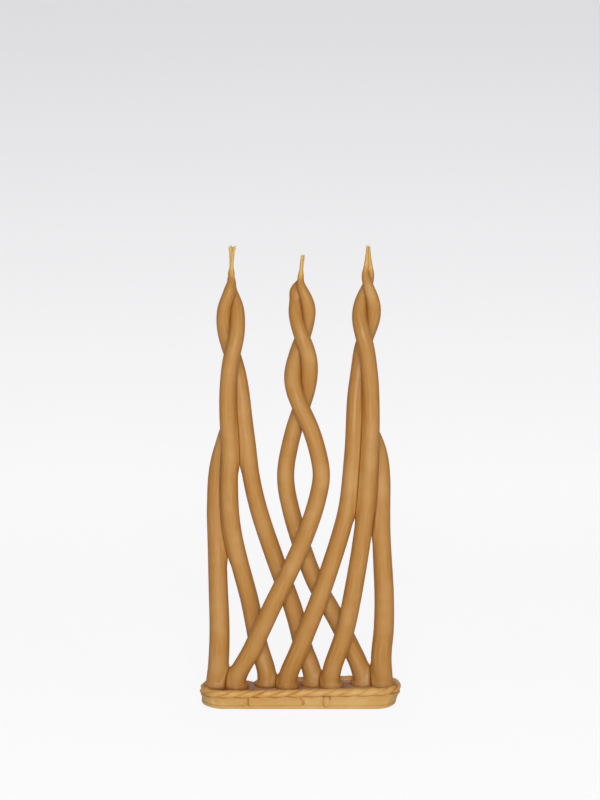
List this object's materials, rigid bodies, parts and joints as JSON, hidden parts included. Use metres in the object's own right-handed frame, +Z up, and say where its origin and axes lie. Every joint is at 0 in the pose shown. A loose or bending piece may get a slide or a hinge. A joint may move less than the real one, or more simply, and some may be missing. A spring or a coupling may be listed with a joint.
{
  "type": "havdalah candle",
  "caption": "Woven beeswax havdalah candle: dipped tapers cross in a lattice, twist in pairs into three wicked tops and stand in a low wax base with a roped rim.",
  "frame": {"origin": "middle of the flat underside of the base", "axes": "+Z up along the tapers, +X along the base to the right, -Y to the front, where the first tapers cross over"},
  "size_m": [0.1104, 0.03, 0.2501],
  "materials": {
    "taper_wax": "satin",
    "band_wax": "satin",
    "rope_wax": "satin",
    "fill_wax": "satin",
    "wick_cotton": "waxed"
  },
  "bodies": {
    "root": {"base_plate": "band_wax", "base_fill": "fill_wax", "band_left": "band_wax", "band_front": "band_wax", "band_right": "band_wax", "rim_ply_a": "rope_wax", "rim_ply_b": "rope_wax", "taper_1": "taper_wax", "taper_2": "taper_wax", "taper_3": "taper_wax", "taper_4": "taper_wax", "taper_5": "taper_wax", "taper_6": "taper_wax", "taper_7": "taper_wax", "taper_8": "taper_wax", "wick_1": "wick_cotton", "wick_2": "wick_cotton", "wick_3": "wick_cotton", "wick_4": "wick_cotton", "wick_5": "wick_cotton", "wick_6": "wick_cotton", "wick_7": "wick_cotton", "wick_8": "wick_cotton"}
  },
  "joints": []
}
